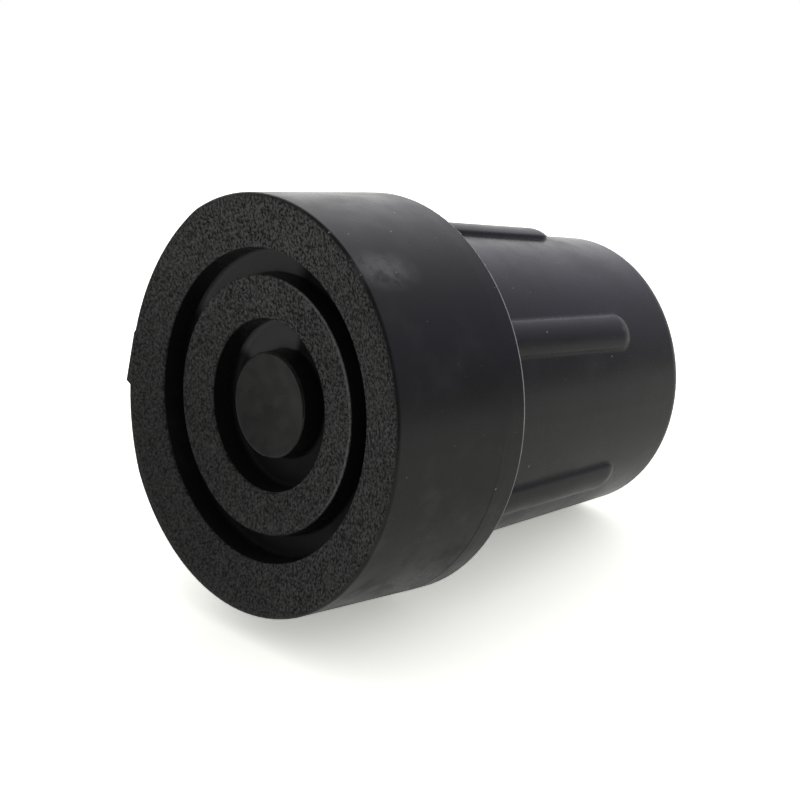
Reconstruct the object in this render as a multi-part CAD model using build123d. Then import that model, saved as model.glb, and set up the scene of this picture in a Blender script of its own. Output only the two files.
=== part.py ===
from build123d import *
from math import atan2, cos, radians, sin, sqrt, tan
import os

# Moulded rubber ferrule for the foot of a walking stick or crutch, one solid piece.
# It stands on its tread: the origin is the middle of the tread and +Z runs up the bore.
# Lengths are in millimetres and angles in degrees.

# Blind bore that the stick is pushed into, and the rubber left between its floor and the ground
bore_diameter = 22.0
bore_lead_in = 0.8
floor_thickness = 11.6

# Neck, a wall round the bore that spreads a little from its rounded mouth down to its foot
total_height = 46.75
mouth_wall = 3.5
neck_spread = 2.2
mouth_round = 1.3

# Base, with a shoulder round the neck's foot and the mould's parting line a little below it
base_height = 16.6
shoulder_width = 3.45
shoulder_set_in = 0.26
shoulder_edge_round = 0.4
parting_drop = 2.0
parting_set_in = 0.2
rim_round = 0.3

# Tread: a narrow flat land round the rim, then a dished face cut by two ring grooves
land_width = 1.0
dish_depth = 2.35
boss_radius = 5.1
inner_groove_width = 3.2
middle_ring_width = 4.1
outer_groove_width = 2.6
groove_depth = 2.75
groove_draft = 4.0
groove_floor_round = 0.4
tread_edge_round = 0.2

# Ribs that run up the neck from the shoulder, with crowned tops, round ends and filled feet
rib_count = 6
rib_width = 3.55
rib_height = 0.84
rib_crown = 0.55
rib_mouth_gap = 8.5
rib_edge_round = 0.15
foot_round = 0.16
foot_share = 0.2

# Side of the rim where the moulding flash was trimmed off, almost through its land
trim_land_left = 0.05
trim_height = 1.3
trim_angle = 222.0
trim_spread = 48.0

# Sliver of flash that the trimming left standing, tallest at its torn end
flash_torn_angle = 204.5
flash_tail_angle = 219.5
flash_end_angle = 1.4
flash_torn_stand_out = 0.66
flash_tail_stand_out = 0.18

# Worked out from the sizes above
bore_radius = bore_diameter / 2
neck_mouth_radius = bore_radius + mouth_wall
neck_foot_radius = neck_mouth_radius + neck_spread
neck_height = total_height - base_height
neck_taper = atan2(neck_spread, neck_height)
base_radius = neck_foot_radius + shoulder_width
shoulder_radius = base_radius - shoulder_set_in
parting_radius = base_radius - parting_set_in
dish_radius = base_radius - land_width
middle_ring_inner_radius = boss_radius + inner_groove_width
middle_ring_outer_radius = middle_ring_inner_radius + middle_ring_width
outer_ring_inner_radius = middle_ring_outer_radius + outer_groove_width
rib_length = (neck_height - rib_mouth_gap) / cos(neck_taper)
rib_side = rib_height - rib_crown
rib_half_width = rib_width / 2
foot_limit = rib_height * foot_share
trim_depth = land_width - trim_land_left
trim_offset = trim_depth / (1 - cos(radians(trim_spread)))
trim_radius = base_radius - trim_depth + trim_offset


def tread_point(radius):
    """Point of the dished face at a radius, level with the land at the dish's edge."""
    sphere = (dish_radius**2 + dish_depth**2) / (2 * dish_depth)
    return (radius, sqrt(sphere**2 - radius**2) - sphere + dish_depth)


def face_arc(inner, outer):
    """Stretch of the dished face between two radii."""
    return ThreePointArc(tread_point(inner), tread_point((inner + outer) / 2), tread_point(outer))


def groove_floor(inner, outer):
    """The two floor corners of a ring groove with drafted walls."""
    floor = tread_point((inner + outer) / 2)[1] + groove_depth
    lean = groove_depth * tan(radians(groove_draft))
    return [(inner + lean, floor), (outer - lean, floor)]


def rounded(face, corners, radius):
    """The section with the corners at some points rounded."""
    nearest = [face.vertices().sort_by_distance((r, 0, z))[0] for r, z in corners]
    return fillet(nearest, radius)


def section():
    """Half section of the ferrule, in the plane of X and Z."""
    boss_edge = tread_point(boss_radius)
    middle_inner_edge = tread_point(middle_ring_inner_radius)
    middle_outer_edge = tread_point(middle_ring_outer_radius)
    outer_inner_edge = tread_point(outer_ring_inner_radius)
    inner_floor = groove_floor(boss_radius, middle_ring_inner_radius)
    outer_floor = groove_floor(middle_ring_outer_radius, outer_ring_inner_radius)
    rim = (base_radius, 0)
    shoulder = (shoulder_radius, base_height)
    mouth = (neck_mouth_radius, total_height)
    outline = [
        face_arc(0, boss_radius),
        Polyline(boss_edge, *inner_floor, middle_inner_edge),
        face_arc(middle_ring_inner_radius, middle_ring_outer_radius),
        Polyline(middle_outer_edge, *outer_floor, outer_inner_edge),
        face_arc(outer_ring_inner_radius, dish_radius),
        Polyline(
            tread_point(dish_radius),
            rim,
            (parting_radius, base_height - parting_drop),
            shoulder,
            (neck_foot_radius, base_height),
            mouth,
            (bore_radius + bore_lead_in, total_height),
            (bore_radius, total_height - bore_lead_in),
            (bore_radius, floor_thickness),
            (0, floor_thickness),
            tread_point(0),
        ),
    ]
    face = Plane.XZ * make_face(Curve() + outline)
    face_edges = [boss_edge, middle_inner_edge, middle_outer_edge, outer_inner_edge]
    face = rounded(face, face_edges, tread_edge_round)
    face = rounded(face, inner_floor + outer_floor, groove_floor_round)
    face = rounded(face, [rim], rim_round)
    face = rounded(face, [shoulder], shoulder_edge_round)
    return rounded(face, [mouth], mouth_round)


def half_rib_section(root):
    """Half of a rib's section, beside its middle line: an upright side under a crowned top."""
    top = (0, rib_height)
    edge = (rib_half_width, rib_side)
    crown_radius = (rib_half_width**2 + rib_crown**2) / (2 * rib_crown)
    sides = Polyline(top, (0, -root), (rib_half_width, -root), edge)
    face = make_face(Curve() + [sides, RadiusArc(edge, top, -crown_radius)])
    return fillet(face.vertices().sort_by_distance(edge)[0], rib_edge_round)


def rib():
    """One rib on +X, laid along the tapered neck: a crowned bar whose end is turned from its section."""
    outward = Vector(cos(neck_taper), 0, sin(neck_taper))
    upward = Vector(-sin(neck_taper), 0, cos(neck_taper))
    root = mouth_wall / 2
    half = half_rib_section(root)
    straight = rib_length - rib_half_width
    foot = Vector(neck_foot_radius, 0, base_height)
    end = foot + upward * straight
    across = Plane(end, x_dir=(0, -1, 0), z_dir=upward)
    bar = extrude(across * (half + mirror(half, Plane.YZ)), -(straight + root))
    return bar + revolve(across * half, Axis(end, -outward), 180)


def ribbed_body():
    """The turned form, with its seam between two ribs, and the ribs on its neck."""
    step = 360 / rib_count
    bar = rib()
    turned = Rot(0, 0, step / 2) * revolve(section(), Axis.Z)
    return turned + [Rot(0, 0, step * place) * bar for place in range(rib_count)]


def at_height(faces, height):
    """Of some faces, the one whose middle lies nearest to a height."""
    return faces.sort_by(lambda face: abs(face.center().Z - height))[0]


def blended(body):
    """The body with the inner corners round its ribs and along its shoulder filled in."""
    neck = at_height(body.faces().filter_by(GeomType.CONE), base_height + neck_height / 2)
    above = neck.edges().filter_by_position(Axis.Z, base_height, total_height, (False, False))
    rib_feet = above.filter_by(GeomType.LINE, reverse=True).sort_by(Axis.Z)[:-1]
    shoulder = at_height(body.faces().filter_by(GeomType.PLANE), base_height)
    neck_foot = shoulder.inner_wires()[0].edges()
    return fillet(rib_feet + neck_foot, min(foot_round, foot_limit))


def trimmed_radius(angle):
    """How far the trimmed edge of the rim lies from the axis at an angle."""
    turn = radians(angle - trim_angle)
    return sqrt(trim_radius**2 - (trim_offset * sin(turn)) ** 2) - trim_offset * cos(turn)


def polar(radius, angle):
    """Point at a radius and an angle round the axis."""
    return (radius * cos(radians(angle)), radius * sin(radians(angle)))


def rim_trim():
    """Sloping cut by an off-centre ring, which runs out into the side of the base."""
    upright = (Align.CENTER, Align.CENTER, Align.MIN)
    away = polar(trim_offset, trim_angle + 180)
    kept = Pos(*away) * Cone(trim_radius, trim_radius + trim_depth, trim_height, align=upright)
    return Cylinder(base_radius + trim_depth, trim_height, align=upright) - kept


def flash():
    """Thin wedge of rubber between the trimmed edge and the torn edge of the flash."""
    torn = trimmed_radius(flash_torn_angle) + flash_torn_stand_out
    tail = trimmed_radius(flash_tail_angle) + flash_tail_stand_out
    corners = [
        polar(dish_radius, flash_torn_angle - flash_end_angle),
        polar(torn, flash_torn_angle),
        polar(tail, flash_tail_angle),
        polar(dish_radius, flash_tail_angle + flash_end_angle),
    ]
    return extrude(make_face(Polyline(*corners, close=True)), trim_height)


ferrule = blended(ribbed_body()) - rim_trim() + flash()

os.makedirs("parts", exist_ok=True)
export_step(ferrule, "parts/ferrule.step")
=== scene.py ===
"""Moulded rubber ferrule of a walking stick: its finish, the floor under it, the light and the camera."""

from math import cos, radians, sin

import bmesh
import bpy
from bpy.props import FloatProperty, FloatVectorProperty, PointerProperty
from mathutils import Matrix, Vector

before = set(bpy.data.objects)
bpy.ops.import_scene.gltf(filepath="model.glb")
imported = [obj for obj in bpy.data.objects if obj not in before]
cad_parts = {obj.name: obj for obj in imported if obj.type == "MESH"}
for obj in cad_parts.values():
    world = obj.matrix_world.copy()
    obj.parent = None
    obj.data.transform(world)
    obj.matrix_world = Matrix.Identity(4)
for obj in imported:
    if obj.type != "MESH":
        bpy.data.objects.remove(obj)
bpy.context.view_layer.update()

bl_info = {
    "name": "Rubber Ferrule",
    "version": (1, 0, 0),
    "blender": (4, 5, 0),
    "location": "View3D > Sidebar > Ferrule",
    "description": "Finishes a moulded rubber stick ferrule and lays it on a lit floor",
    "category": "Object",
}

# Each fade below is where it starts and ends and, unless it runs from none to all, its strength there.

# Fades over lengths in metres
GROUND_FADE = (0.0003, 0.00012)
RIM_FADE = (-0.0001, -0.0004)
NECK_FADE = (-0.00005, 0.0002)
EDGE_FADE = (0.0, 0.0001)
PARTING_FADE = (0.00016, 0.00005, 0.0, 0.8)
BEYOND_FADE = (0.0, 0.0002, 0.0, 0.03)

# Fades over shares of the size that they follow
BOSS_FADE_SHARES = (1.04, 0.98)
GROOVE_TOP_SHARES = (1.0, 0.95)
GROOVE_SIDE_SHARES = (1.02, 1.0)
GROOVE_FLOOR_SHARES = (0.8, 0.9)
EDGE_SIDE_SHARES = (0.97, 0.98)
# The next fade paints the tread's grain crests paler towards the lit side, which is painted light.
LIT_SIDE_SHARES = (0.0, 0.9, 0.95, 1.5)
RUBBED_SHARES = (-0.6, 0.9, 0.0, 0.5)
SMUDGED_SHARES = (0.6, 0.95)
GLINT_WIDTH_SHARES = (0.7, 0.2)
GLINT_DEPTH_SHARES = (1.5, 1.0)
MOUTH_HAZE_SHARES = (1.4, 2.8, 0.0, 0.06)
PATCH_SHARES = (1.0, 0.1, 0.0, 0.5)

# Fades over the cosine of the turn away from a side
LIT_FADE = (0.78, 0.88, 0.05, 1.0)
GLINT_FADE = (0.2, 0.8, 0.0, 0.4)

# Fades over the values of a noise
CREST_FADE = (0.34, 0.72)
PIT_FADE = (0.44, 0.34)
BLOTCH_FADE = (0.38, 0.62)
# The next fade breaks up the painted highlight on the shoulder's edge.
HIGHLIGHT_BREAK_FADE = (0.3, 0.6, 0.75, 1.0)
DARK_SMEAR_FADE = (0.5, 0.3, 0.0, 0.3)
PALE_SMEAR_FADE = (0.5, 0.7, 0.0, 0.09)
CLOUD_FADE = (0.55, 0.8, 0.0, 0.05)
SATIN_FADE = (0.3, 0.75, -0.05, 0.1)
WISP_FADE = (0.3, 0.62, 0.15, 1.0)

# Noises: size in metres, detail and roughness, and for the grain only the last two
BLOTCHES = (0.0018, 3.0, 0.5)
SMEARS = (0.0035, 4.0, 0.6)
CLOUDS = (0.006, 4.0, 0.6)
WISPS = (0.0016, 4.0, 0.65)
GRAIN_DETAIL = (3.0, 0.65)
PIT_DETAIL = (1.0, 0.5)
RIPPLE_DETAIL = (2.0, 0.5)

# Specks and scratches, each in a cell of its own, with fades over shares of a cell and turns in radians
SPECK_CELLS_PER_METRE = 520.0
SPECK_FADE_SHARES = (0.075, 0.04)
EMPTY_CELLS_SHARE = 0.5
MORE_EMPTY_ON_NECK_SHARE = 0.3
SCRATCH_CELLS_PER_METRE = 1000.0
SCRATCH_FADE_SHARES = (0.055, 0.025, 0.0, 0.6)
SCRATCH_TURN = (-0.4, 0.52, 0)
SCRATCH_STRETCH = 8

# Other shares and settings of the rubber
RUBBED_CREST_SHARE = 0.14
PATCH_STRETCH = 1.7
DULL_ROUGHNESS = 0.4
BEVEL_SAMPLES = 6

# Fades of the studio over the rise of a direction, which is one straight up and none at the horizon
CEILING_FADE = (sin(radians(35)), sin(radians(75)))
TABLE_FADE = (0.0, -0.08)
WINDOW_FADE = (0.05, 0.25)
WALL_FOOT_FADE = (0.0, 0.15)
WALL_TOP_FADE = (0.68, 0.45)

WHITE = (1, 1, 1)
SENSOR_WIDTH = 36.0
NEAREST_SEEN = 0.01


def length(name, description, default):
    """A length that a user may change, in metres."""
    return FloatProperty(
        name=name, description=description, default=default, min=0, unit="LENGTH", precision=5
    )


def share(name, description, default):
    """A share from none to all."""
    return FloatProperty(
        name=name, description=description, default=default, min=0, max=1, subtype="FACTOR"
    )


def brightness(name, description, default):
    """Brightness of a light, where one is white."""
    return FloatProperty(name=name, description=description, default=default, min=0, soft_max=2)


def colour(name, description, default):
    """A colour without transparency."""
    return FloatVectorProperty(
        name=name, description=description, default=default, min=0, max=1, size=3, subtype="COLOR"
    )


def angle(name, description, default):
    """An angle, given in degrees."""
    return FloatProperty(
        name=name, description=description, default=radians(default), subtype="ANGLE"
    )


def position(name, description, default):
    """A point of the part's own frame, in metres."""
    return FloatVectorProperty(
        name=name, description=description, default=default, size=3, unit="LENGTH", precision=5
    )


class FerruleForm(bpy.types.PropertyGroup):
    """Where the moulded forms lie, for the finishes that follow them"""

    base_radius: length("Base", "Radius of the base at the rim of its tread", 0.02015)
    dish_radius: length("Dish", "Radius of the dished part of the tread", 0.01915)
    dish_depth: length("Dish depth", "How deep the tread is dished", 0.00235)
    boss_radius: length("Boss", "Radius of the boss in the middle of the tread", 0.0051)
    ring_radius: length("Middle ring", "Outer radius of the middle ring", 0.0124)
    ring_round: length("Ring edge", "Round of the rings' edges", 0.0002)
    grooves_radius: length("Grooves", "Radius out to which the tread is grooved", 0.015)
    groove_depth: length("Groove depth", "Depth of the grooves below the dished face", 0.00275)
    grooves_top: length("Groove floors", "Height that no groove reaches", 0.0075)
    parting_height: length("Parting line", "Height of the mould's parting line", 0.0136)
    shoulder_height: length("Shoulder", "Height of the shoulder round the neck", 0.0166)
    shoulder_round: length("Shoulder edge", "Round of the shoulder's edge", 0.0004)


class FerruleRubber(bpy.types.PropertyGroup):
    """Colour and surface of the rubber"""

    moulded: colour("Moulded", "Rubber as it leaves the mould", (0.0065, 0.0065, 0.0073))
    neck: colour("Neck", "Duller rubber of the neck", (0.0095, 0.0093, 0.0107))
    boss: colour("Boss", "Lighter blotches of the boss", (0.0115, 0.0115, 0.0125))
    # This colour is painted light: the lit patch on the floors of the grooves towards the lit side,
    # standing in for light that falls into them.
    groove: colour("Groove floors", "Dusty floors of the grooves", (0.098, 0.098, 0.1))
    # This colour is a painted highlight, along the shoulder's edge and on one side of the middle ring's
    # edge.
    edge: colour("Edge", "Rubbed edges of the shoulder and the middle ring", (0.24, 0.24, 0.245))
    ground: colour("Ground", "Crests of the ground tread", (0.094, 0.094, 0.094))
    pit: colour("Pits", "Pits in the ground tread", (0.002, 0.002, 0.002))
    dust: colour("Dust", "Specks and haze of dust", (0.16, 0.16, 0.165))
    moulded_roughness: share("Moulded roughness", "Roughness of the moulded sides", 0.27)
    shine: share("Shine", "Specular level of the rubber", 0.3)
    ground_roughness: share("Ground roughness", "Roughness of the ground tread", 0.68)
    grain_size: length("Grain size", "Size of the ground tread's grain", 0.00027)
    grain_height: length("Grain height", "Height of the ground tread's grain", 0.00008)
    grind_turn: angle("Grinding", "Way that the tread was ground, as a turn from +X", 101.6)
    grind_stretch: FloatProperty(
        name="Grinding stretch", description="How far grinding draws the grain out", default=1.05, min=1
    )
    # Side where the middle ring's edge has its painted highlight.
    glint_turn: angle("Glint", "Side where the middle ring's edge is rubbed, as a turn from +X", 10)
    smudged_turn: angle("Smudged side", "Side of the base that is smudged, as a turn from +X", 72)
    rubbed_turn: angle("Rubbed side", "Side of the tread that is rubbed smooth, as a turn from +X", 190)
    # Side towards which the tread has its painted light: paler grain crests and the lit patch on the
    # groove floors.
    lit_side_turn: angle("Pale side", "Side of the tread that is palest, as a turn from +X", 271)
    haze_place: position("Haze", "Middle of the hazy patch on the base", (0.01886, -0.00701, 0.0032))
    haze_size: length("Haze size", "Reach of the hazy patch round the base", 0.003)
    rib_softness: length("Rib softness", "How far the edges and feet of the ribs run out", 0.0006)
    ripple_size: length("Ripple size", "Size of the ripples in the moulded sides", 0.002)
    ripple_height: length("Ripple height", "Height of the ripples in the moulded sides", 0.000004)


class FerruleStage(bpy.types.PropertyGroup):
    """The floor that the ferrule lies on, the light and the camera"""

    rest_turn: angle("Rib it lies on", "Turn from +X to the rib that the ferrule lies on", 120)
    rest_tilt: angle("Tilt", "Angle between the ferrule's axis and the floor", 9.95)
    floor_size: length("Floor size", "Side of the square sheet that is the floor", 0.4)
    floor_colour: colour("Floor", "Colour of the floor", (0.75, 0.753, 0.72))
    floor_exposure: brightness("Floor exposure", "How much brighter it shows than it lights", 2.15)
    floor_glow: share("Floor glow", "What keeps the shadow on the floor pale", 0.44)
    floor_shine: share("Floor shine", "The same in the ferrule's reflections", 0.27)
    far_light: brightness("Far light", "Backdrop behind the ferrule", 1.24)
    near_light: brightness("Near light", "Room behind the camera", 0.13)
    left_light: brightness("Left light", "Backdrop to the left of the ferrule", 0.04)
    right_light: brightness("Right light", "Backdrop to the right of the ferrule", 0.29)
    right_floor: brightness("Right floor", "Table that runs on to the right of the floor", 0.2)
    right_window: brightness("Right window", "Paler wall above the table to the right", 0.25)
    right_colour: colour("Right colour", "Colour of the wall to the right", (0.8, 0.77, 1.0))
    above_light: brightness("Light above", "Ceiling over the ferrule", 0.2)
    plain_light: brightness("Plain light", "Even light on matt surfaces", 0.5)
    plain_lean: share("Plain light's lean", "How much of the plain light is moved to the right", 0.3)
    camera_place: position("Camera", "Place of the camera", (0.129756, 0.027709, -0.105821))
    camera_aim: position("Aim", "Point in the middle of the picture", (-0.000202, 0.001033, 0.019258))
    camera_up: FloatVectorProperty(
        name="Camera up",
        description="Direction that is up in the picture",
        default=(0.28318, -0.95479, 0.0906),
        size=3,
        subtype="DIRECTION",
    )
    camera_lens: FloatProperty(
        name="Lens", description="Focal length in millimetres", default=81.0, unit="CAMERA"
    )


class Wiring:
    """A node tree with short ways to place nodes and to join them."""

    def __init__(self, tree):
        self.tree = tree
        tree.nodes.clear()

    def node(self, kind, inputs=None, **settings):
        """Places a node, with its settings, and fills or joins its inputs."""
        made = self.tree.nodes.new(kind)
        for name, value in settings.items():
            setattr(made, name, value)
        for key, value in (inputs or {}).items():
            if isinstance(value, bpy.types.NodeSocket):
                self.tree.links.new(value, made.inputs[key])
            else:
                made.inputs[key].default_value = value
        return made

    def math(self, operation, *values):
        """Reckons with up to three values."""
        return self.node("ShaderNodeMath", dict(enumerate(values)), operation=operation).outputs[0]

    def product(self, first, *others):
        """Multiplies some values."""
        for other in others:
            first = self.math("MULTIPLY", first, other)
        return first

    def total(self, first, *others):
        """Adds some values up."""
        for other in others:
            first = self.math("ADD", first, other)
        return first

    def highest(self, first, *others):
        """The highest of some values."""
        for other in others:
            first = self.math("MAXIMUM", first, other)
        return first

    def rest(self, value):
        """What a share leaves of the whole."""
        return self.math("SUBTRACT", 1.0, value)

    def along(self, place, axis):
        """How far a point lies along an axis."""
        made = self.node("ShaderNodeVectorMath", {0: place, 1: axis}, operation="DOT_PRODUCT")
        return made.outputs["Value"]

    def size(self, place):
        """Length of a vector."""
        return self.node("ShaderNodeVectorMath", {0: place}, operation="LENGTH").outputs["Value"]

    def ramp(self, value, start, end, low=0.0, high=1.0):
        """Goes smoothly from low to high as a value goes from start to end."""
        inputs = {0: value, 1: start, 2: end, 3: low, 4: high}
        made = self.node("ShaderNodeMapRange", inputs, interpolation_type="SMOOTHSTEP")
        return made.outputs[0]

    def blend(self, amount, low, high):
        """Mixes two colours, whose sockets share their names with those of other kinds of mix."""
        made = self.node("ShaderNodeMix", {0: amount}, data_type="RGBA")
        for socket, value in ((made.inputs[6], low), (made.inputs[7], high)):
            if isinstance(value, bpy.types.NodeSocket):
                self.tree.links.new(value, socket)
            else:
                socket.default_value = (*value, 1)
        return made.outputs[2]

    def noise(self, place, size, detail, roughness):
        """Cloudy noise with features of about a given size."""
        inputs = {"Vector": place, "Scale": 1 / size, "Detail": detail, "Roughness": roughness}
        return self.node("ShaderNodeTexNoise", inputs).outputs["Fac"]

    def pattern_place(self, place, **moves):
        """Place in a pattern that is itself moved, turned or stretched."""
        inputs = {"Vector": place, **moves}
        return self.node("ShaderNodeMapping", inputs, vector_type="TEXTURE").outputs[0]


def shared(fade, size):
    """A fade between two shares of a size."""
    start, end, *strengths = fade
    return (start * size, end * size, *strengths)


def moved(fade, start):
    """A fade measured from a starting point."""
    first, last, *strengths = fade
    return (start + first, start + last, *strengths)


def level(turn):
    """Level direction at a turn from +X."""
    return (cos(turn), sin(turn), 0)


class Surface:
    """Where a shaded point lies on the ferrule, with masks of the moulded zones."""

    def __init__(self, wiring, form):
        self.wiring = wiring
        self.place = wiring.node("ShaderNodeTexCoord").outputs["Object"]
        axes = wiring.node("ShaderNodeSeparateXYZ", {0: self.place}).outputs
        flat = wiring.node("ShaderNodeCombineXYZ", {0: axes[0], 1: axes[1]}).outputs[0]
        self.radius = wiring.size(flat)
        self.height = axes[2]
        self.depth = self.depth_in_tread(form)
        on_tread = wiring.ramp(self.depth, *GROUND_FADE)
        inside_rim = wiring.ramp(self.radius, *moved(RIM_FADE, form.base_radius))
        boss = wiring.ramp(self.radius, *shared(BOSS_FADE_SHARES, form.boss_radius))
        self.boss = wiring.product(on_tread, boss)
        self.rings = wiring.product(on_tread, inside_rim, wiring.rest(boss))
        below_tops = wiring.ramp(self.height, *shared(GROOVE_TOP_SHARES, form.grooves_top))
        inside_grooves = wiring.ramp(self.radius, *shared(GROOVE_SIDE_SHARES, form.grooves_radius))
        self.grooved = wiring.product(below_tops, inside_grooves)
        deep = wiring.ramp(self.depth, *shared(GROOVE_FLOOR_SHARES, form.groove_depth))
        self.groove_floor = wiring.product(self.grooved, deep)
        self.neck = wiring.ramp(self.height, *moved(NECK_FADE, form.shoulder_height))
        self.blotches = wiring.noise(self.place, *BLOTCHES)
        self.clouds = wiring.noise(self.place, *CLOUDS)

    def depth_in_tread(self, form):
        """How far the point lies above the dished face."""
        bend = form.dish_depth / form.dish_radius**2
        fall = self.wiring.product(self.radius, self.radius, bend)
        dish = self.wiring.highest(self.wiring.math("SUBTRACT", form.dish_depth, fall), 0.0)
        return self.wiring.math("SUBTRACT", self.height, dish)

    def towards(self, turn):
        """How far the point lies towards a side."""
        return self.wiring.along(self.place, level(turn))

    def cosine(self, turn):
        """Cosine of the turn between the point and a side."""
        return self.wiring.math("DIVIDE", self.towards(turn), self.radius)


class GroundTread:
    """Rings of the tread, ground to a grain that is rubbed smooth on one side, with painted light: crests
    paler towards the lit side and a painted highlight on the middle ring's edge.
    """

    def __init__(self, surface, form, rubber):
        wiring = surface.wiring
        towards_rubbed = surface.towards(rubber.rubbed_turn)
        rubbed = wiring.ramp(towards_rubbed, *shared(RUBBED_SHARES, form.base_radius))
        kept = wiring.rest(rubbed)
        turn = (0, 0, rubber.grind_turn)
        stretch = (rubber.grind_stretch, 1, 1)
        drawn = wiring.pattern_place(surface.place, Rotation=turn, Scale=stretch)
        grain = wiring.noise(drawn, rubber.grain_size, *GRAIN_DETAIL)
        pits = wiring.ramp(wiring.noise(drawn, rubber.grain_size, *PIT_DETAIL), *PIT_FADE)
        pits = wiring.product(pits, kept)
        # Painted light: the crests of the grain are painted paler towards the lit side.
        towards_lit_side = surface.towards(rubber.lit_side_turn)
        pale = wiring.ramp(towards_lit_side, *shared(LIT_SIDE_SHARES, form.base_radius))
        crest = wiring.product(wiring.ramp(grain, *CREST_FADE), pale)
        crest = wiring.math("MULTIPLY_ADD", crest, kept, wiring.product(rubbed, RUBBED_CREST_SHARE))
        ground = wiring.blend(crest, rubber.pit, rubber.ground)
        ground = wiring.blend(pits, ground, rubber.pit)
        # Painted highlight on one side of the middle ring's outer edge.
        self.colour = wiring.blend(self.glint(surface, form, rubber), ground, rubber.edge)
        relief = wiring.product(wiring.math("SUBTRACT", grain, pits), kept)
        self.relief = wiring.product(relief, rubber.grain_height)

    def glint(self, surface, form, rubber):
        """Mask of the middle ring's outer edge on one side, where a highlight is painted."""
        wiring = surface.wiring
        off_edge = wiring.math("SUBTRACT", surface.radius, form.ring_radius - form.ring_round / 2)
        off_edge = wiring.math("ABSOLUTE", off_edge)
        on_edge = wiring.ramp(off_edge, *shared(GLINT_WIDTH_SHARES, form.ring_round))
        on_face = wiring.ramp(surface.depth, *shared(GLINT_DEPTH_SHARES, form.ring_round))
        on_side = wiring.ramp(surface.cosine(rubber.glint_turn), *GLINT_FADE)
        return wiring.product(on_edge, on_side, on_face)


class SmudgedSide:
    """Side of the base with smears, dark and pale, and with the parting line that shows there."""

    def __init__(self, surface, form, rubber):
        wiring = surface.wiring
        towards = surface.towards(rubber.smudged_turn)
        smudged = wiring.ramp(towards, *shared(SMUDGED_SHARES, form.base_radius))
        smudged = wiring.product(smudged, wiring.rest(surface.neck))
        smears = wiring.noise(surface.place, *SMEARS)
        off_parting = wiring.math("SUBTRACT", surface.height, form.parting_height)
        line = wiring.ramp(wiring.math("ABSOLUTE", off_parting), *PARTING_FADE)
        dark = wiring.highest(wiring.ramp(smears, *DARK_SMEAR_FADE), line)
        beyond = wiring.ramp(off_parting, *BEYOND_FADE)
        pale = wiring.total(wiring.ramp(smears, *PALE_SMEAR_FADE), beyond)
        self.dull = wiring.product(smudged, dark)
        self.haze = wiring.product(smudged, pale)


def specks(surface):
    """Mask of the specks of dust and the short scratches, which the grooves don't have."""
    wiring = surface.wiring
    inputs = {"Vector": surface.place, "Scale": SPECK_CELLS_PER_METRE}
    cells = wiring.node("ShaderNodeTexVoronoi", inputs).outputs
    chance = wiring.node("ShaderNodeSeparateColor", {0: cells["Color"]}).outputs[0]
    empty = wiring.math("MULTIPLY_ADD", surface.neck, MORE_EMPTY_ON_NECK_SHARE, EMPTY_CELLS_SHARE)
    filled = wiring.math("GREATER_THAN", chance, empty)
    dots = wiring.product(wiring.ramp(cells["Distance"], *SPECK_FADE_SHARES), filled)
    stretch = (1, 1, SCRATCH_STRETCH)
    drawn = wiring.pattern_place(surface.place, Rotation=SCRATCH_TURN, Scale=stretch)
    inputs = {"Vector": drawn, "Scale": SCRATCH_CELLS_PER_METRE}
    cells = wiring.node("ShaderNodeTexVoronoi", inputs).outputs
    scratches = wiring.ramp(cells["Distance"], *SCRATCH_FADE_SHARES)
    return wiring.product(wiring.highest(dots, scratches), wiring.rest(surface.grooved))


def haze(surface, form, rubber):
    """Mask of the haze on the moulded sides: clouds, more towards the mouth, and one patch."""
    wiring = surface.wiring
    clouds = wiring.ramp(surface.clouds, *CLOUD_FADE)
    mouth = wiring.ramp(surface.height, *shared(MOUTH_HAZE_SHARES, form.shoulder_height))
    stretch = (1, 1, PATCH_STRETCH)
    off_patch = wiring.pattern_place(surface.place, Location=rubber.haze_place, Scale=stretch)
    patch = wiring.ramp(wiring.size(off_patch), *shared(PATCH_SHARES, rubber.haze_size))
    wisps = wiring.ramp(wiring.noise(surface.place, *WISPS), *WISP_FADE)
    return wiring.highest(wiring.total(clouds, mouth), wiring.product(patch, wisps))


def painted_shoulder_highlight(surface, form):
    """Mask of the shoulder's edge, where a highlight is painted, broken up unevenly."""
    wiring = surface.wiring
    edge_start = form.shoulder_height - form.shoulder_round
    above = wiring.ramp(surface.height, *moved(EDGE_FADE, edge_start))
    outside = wiring.ramp(surface.radius, *shared(EDGE_SIDE_SHARES, form.base_radius))
    return wiring.product(outside, above, wiring.ramp(surface.blotches, *HIGHLIGHT_BREAK_FADE))


def moulded_colour(surface, smudges, form, rubber):
    """Colour of all that is left as it was moulded: sides, neck, boss and groove floors, with painted
    light: a lit patch on the groove floors and a highlight along the shoulder's edge.
    """
    wiring = surface.wiring
    plain = wiring.blend(surface.neck, rubber.moulded, rubber.neck)
    boss = wiring.blend(wiring.ramp(surface.blotches, *BLOTCH_FADE), rubber.pit, rubber.boss)
    plain = wiring.blend(surface.boss, plain, boss)
    # Painted light: the groove floors are painted pale on the lit side, where light falls into them.
    lit = wiring.ramp(surface.cosine(rubber.lit_side_turn), *LIT_FADE)
    plain = wiring.blend(wiring.product(surface.groove_floor, lit), plain, rubber.groove)
    # Painted highlight along the shoulder's edge.
    plain = wiring.blend(painted_shoulder_highlight(surface, form), plain, rubber.edge)
    hazy = wiring.total(haze(surface, form, rubber), smudges.haze)
    return wiring.blend(wiring.highest(specks(surface), hazy), plain, rubber.dust)


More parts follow.
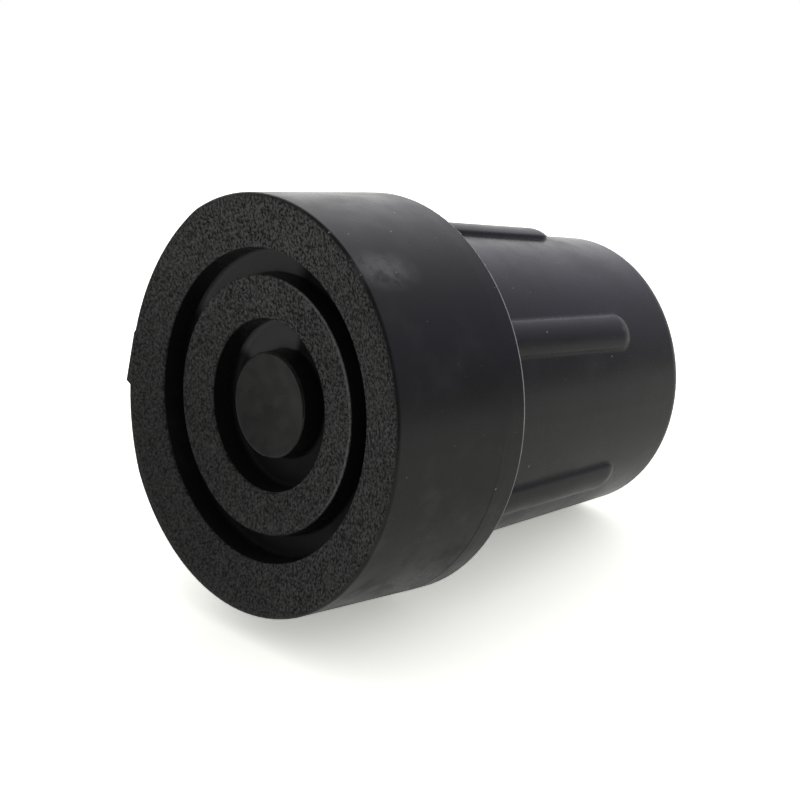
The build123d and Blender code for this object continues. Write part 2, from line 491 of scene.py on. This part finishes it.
def rubber_roughness(surface, smudges, rubber):
    """Satin sides with duller groove floors and smudges, and matt rings."""
    wiring = surface.wiring
    start, end, smoother, rougher = SATIN_FADE
    smoothest = rubber.moulded_roughness + smoother
    roughest = rubber.moulded_roughness + rougher
    satin = wiring.ramp(surface.clouds, start, end, smoothest, roughest)
    dull = wiring.product(wiring.highest(surface.groove_floor, smudges.dull), DULL_ROUGHNESS)
    step = rubber.ground_roughness - rubber.moulded_roughness
    return wiring.math("MULTIPLY_ADD", surface.rings, step, wiring.total(satin, dull))


def rubber_normal(surface, tread, rubber):
    """Grain on the rings, faint ripples elsewhere, and ribs that run out softly."""
    wiring = surface.wiring
    ripples = wiring.noise(surface.place, rubber.ripple_size, *RIPPLE_DETAIL)
    ripples = wiring.product(ripples, rubber.ripple_height)
    relief = wiring.math("MULTIPLY_ADD", tread.relief, surface.rings, ripples)
    softness = wiring.product(surface.neck, rubber.rib_softness)
    soft = wiring.node("ShaderNodeBevel", {"Radius": softness}, samples=BEVEL_SAMPLES).outputs[0]
    inputs = {"Height": relief, "Distance": 1.0, "Strength": 1.0, "Normal": soft}
    return wiring.node("ShaderNodeBump", inputs).outputs[0]


def rubber_material(form, rubber):
    """Black rubber: ground rings on the tread, smooth boss and grooves, satin moulded sides."""
    material = bpy.data.materials.new("Ferrule rubber")
    material.use_nodes = True
    wiring = Wiring(material.node_tree)
    surface = Surface(wiring, form)
    tread = GroundTread(surface, form, rubber)
    smudges = SmudgedSide(surface, form, rubber)
    moulded = moulded_colour(surface, smudges, form, rubber)
    shader = wiring.node(
        "ShaderNodeBsdfPrincipled",
        {
            "Base Color": wiring.blend(surface.rings, moulded, tread.colour),
            "Roughness": rubber_roughness(surface, smudges, rubber),
            "Specular IOR Level": rubber.shine,
            "Normal": rubber_normal(surface, tread, rubber),
        },
    )
    wiring.node("ShaderNodeOutputMaterial", {"Surface": shader.outputs[0]})
    return material


def floor_material(stage):
    """White sheet that keeps shadows, and that can be looked through from underneath."""
    material = bpy.data.materials.new("Floor")
    material.use_nodes = True
    wiring = Wiring(material.node_tree)
    rays = wiring.node("ShaderNodeLightPath").outputs
    backfacing = wiring.node("ShaderNodeNewGeometry").outputs["Backfacing"]
    shown = wiring.product(rays["Is Camera Ray"], stage.floor_glow)
    glow = wiring.math("MULTIPLY_ADD", rays["Is Glossy Ray"], stage.floor_shine, shown)
    bright = Vector(stage.floor_colour) * stage.floor_exposure
    tint = wiring.blend(rays["Is Camera Ray"], stage.floor_colour, bright)
    paint = wiring.node("ShaderNodeBsdfDiffuse", {"Color": tint}).outputs[0]
    light = {"Color": (*stage.floor_colour, 1), "Strength": glow}
    light = wiring.node("ShaderNodeEmission", light).outputs[0]
    white = wiring.node("ShaderNodeAddShader", {0: paint, 1: light}).outputs[0]
    clear = wiring.node("ShaderNodeBsdfTransparent").outputs[0]
    under = wiring.product(rays["Is Camera Ray"], backfacing)
    sheet = wiring.node("ShaderNodeMixShader", {0: under, 1: white, 2: clear}).outputs[0]
    wiring.node("ShaderNodeOutputMaterial", {"Surface": sheet})
    return material


def backdrops(wiring, ray, rise, away, side, stage):
    """Light of the four backdrops, each brightest in its middle."""
    run = wiring.math("SQRT", wiring.rest(wiring.product(rise, rise)))
    sides = (
        (away, stage.far_light),
        (-away, stage.near_light),
        (side, stage.right_light),
        (-side, stage.left_light),
    )
    light = 0.0
    for axis, brightest in sides:
        facing = wiring.math("DIVIDE", wiring.along(ray, axis), run)
        facing = wiring.highest(facing, 0.0)
        light = wiring.math("MULTIPLY_ADD", wiring.product(facing, facing), brightest, light)
    return light


def studio_world(stage, up, away, side):
    """White for the camera, and for the ferrule a studio that is bright behind it and dim in front."""
    world = bpy.data.worlds.new("White studio")
    world.use_nodes = True
    wiring = Wiring(world.node_tree)
    rays = wiring.node("ShaderNodeLightPath").outputs
    mirrored = rays["Is Glossy Ray"]
    ray = wiring.node("ShaderNodeTexCoord").outputs["Generated"]
    rise = wiring.along(ray, up)
    rightward = wiring.along(ray, side)

    # What the rubber mirrors on its right: the table, and above it a paler, bluish wall
    right = wiring.product(wiring.highest(rightward, 0.0), mirrored)
    table = wiring.product(right, wiring.ramp(rise, *TABLE_FADE))
    window = wiring.product(right, wiring.ramp(rise, *WINDOW_FADE))
    wall = wiring.product(wiring.ramp(rise, *WALL_FOOT_FADE), wiring.ramp(rise, *WALL_TOP_FADE), right)
    tint = wiring.blend(wall, WHITE, stage.right_colour)

    # All backdrops end at the ceiling, and matt surfaces also have a plain light
    light = backdrops(wiring, ray, rise, away, side, stage)
    light = wiring.math("MULTIPLY_ADD", table, stage.right_floor, light)
    light = wiring.math("MULTIPLY_ADD", window, stage.right_window, light)
    ceiling = wiring.ramp(rise, *CEILING_FADE)
    light = wiring.product(light, wiring.rest(ceiling))
    light = wiring.math("MULTIPLY_ADD", wiring.product(ceiling, mirrored), stage.above_light, light)
    plain = wiring.math("MULTIPLY_ADD", rightward, stage.plain_lean, 1.0)
    plain = wiring.product(plain, stage.plain_light, wiring.rest(mirrored))
    light = {"Color": tint, "Strength": wiring.total(light, plain)}
    studio = wiring.node("ShaderNodeBackground", light).outputs[0]
    shown = wiring.node("ShaderNodeBackground", {"Color": (*WHITE, 1), "Strength": 1.0}).outputs[0]
    inputs = {0: rays["Is Camera Ray"], 1: studio, 2: shown}
    mixed = wiring.node("ShaderNodeMixShader", inputs).outputs[0]
    wiring.node("ShaderNodeOutputWorld", {"Surface": mixed})
    return world


def floor_sheet(stage, place):
    """Square sheet, laid and turned to a place."""
    mesh = bpy.data.meshes.new("floor")
    shape = bmesh.new()
    bmesh.ops.create_grid(shape, x_segments=1, y_segments=1, size=stage.floor_size / 2)
    bmesh.ops.transform(shape, matrix=place, verts=shape.verts)
    shape.to_mesh(mesh)
    shape.free()
    mesh.materials.append(floor_material(stage))
    return bpy.data.objects.new("floor", mesh)


def axes_matrix(x, y, z):
    """Turn to three axes."""
    return Matrix((x, y, z)).transposed().to_4x4()


def photo_camera(stage):
    """Camera that looks from its place to the point in the middle of the picture."""
    lens = bpy.data.cameras.new("camera")
    lens.lens = stage.camera_lens
    lens.sensor_width = SENSOR_WIDTH
    lens.clip_start = NEAREST_SEEN
    camera = bpy.data.objects.new("camera", lens)
    place = Vector(stage.camera_place)
    back = (place - Vector(stage.camera_aim)).normalized()
    side = Vector(stage.camera_up).cross(back).normalized()
    camera.matrix_world = Matrix.Translation(place) @ axes_matrix(side, back.cross(side), back)
    return camera


class FERRULE_OT_finish_rubber(bpy.types.Operator):
    """Give the moulded ferrule its ground tread, smooth grooves and satin sides"""

    bl_idname = "ferrule.finish_rubber"
    bl_label = "Finish the Rubber"

    def execute(self, context):
        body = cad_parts["ferrule"]
        scene = context.scene
        body.material_slots[0].material = rubber_material(scene.ferrule_form, scene.ferrule_rubber)
        return {"FINISHED"}


class FERRULE_OT_set_stage(bpy.types.Operator):
    """Lay a white floor under the ferrule, set the studio round it and place the camera"""

    bl_idname = "ferrule.set_stage"
    bl_label = "Set the Stage"

    def execute(self, context):
        scene = context.scene
        stage = scene.ferrule_stage
        tilt = stage.rest_tilt
        down = Vector(level(stage.rest_turn)) * cos(tilt) + Vector((0, 0, sin(tilt)))
        up = -down
        sight = Vector(stage.camera_aim) - Vector(stage.camera_place)
        side = sight.cross(up).normalized()
        away = up.cross(side)
        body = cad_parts["ferrule"]
        lowest = min(up.dot(vertex.co) for vertex in body.data.vertices)

        floor = floor_sheet(stage, Matrix.Translation(up * lowest) @ axes_matrix(side, away, up))
        scene.collection.objects.link(floor)
        scene.world = studio_world(stage, up, away, side)
        scene.camera = photo_camera(stage)
        scene.collection.objects.link(scene.camera)
        scene.view_settings.view_transform = "Standard"
        return {"FINISHED"}


class FERRULE_PT_sidebar(bpy.types.Panel):
    """Sizes, colours and steps of the ferrule"""

    bl_label = "Rubber Ferrule"
    bl_space_type = "VIEW_3D"
    bl_region_type = "UI"
    bl_category = "Ferrule"

    def draw(self, context):
        layout = self.layout
        scene = context.scene
        for group in (scene.ferrule_form, scene.ferrule_rubber):
            for name in group.__annotations__:
                layout.prop(group, name)
        layout.operator("ferrule.finish_rubber")
        for name in scene.ferrule_stage.__annotations__:
            layout.prop(scene.ferrule_stage, name)
        layout.operator("ferrule.set_stage")


classes = (
    FerruleForm,
    FerruleRubber,
    FerruleStage,
    FERRULE_OT_finish_rubber,
    FERRULE_OT_set_stage,
    FERRULE_PT_sidebar,
)


def register():
    for item in classes:
        bpy.utils.register_class(item)
    bpy.types.Scene.ferrule_form = PointerProperty(type=FerruleForm)
    bpy.types.Scene.ferrule_rubber = PointerProperty(type=FerruleRubber)
    bpy.types.Scene.ferrule_stage = PointerProperty(type=FerruleStage)


def unregister():
    del bpy.types.Scene.ferrule_stage
    del bpy.types.Scene.ferrule_rubber
    del bpy.types.Scene.ferrule_form
    for item in reversed(classes):
        bpy.utils.unregister_class(item)


def main():
    register()
    bpy.ops.ferrule.finish_rubber()
    bpy.ops.ferrule.set_stage()


if __name__ == "__main__":
    main()
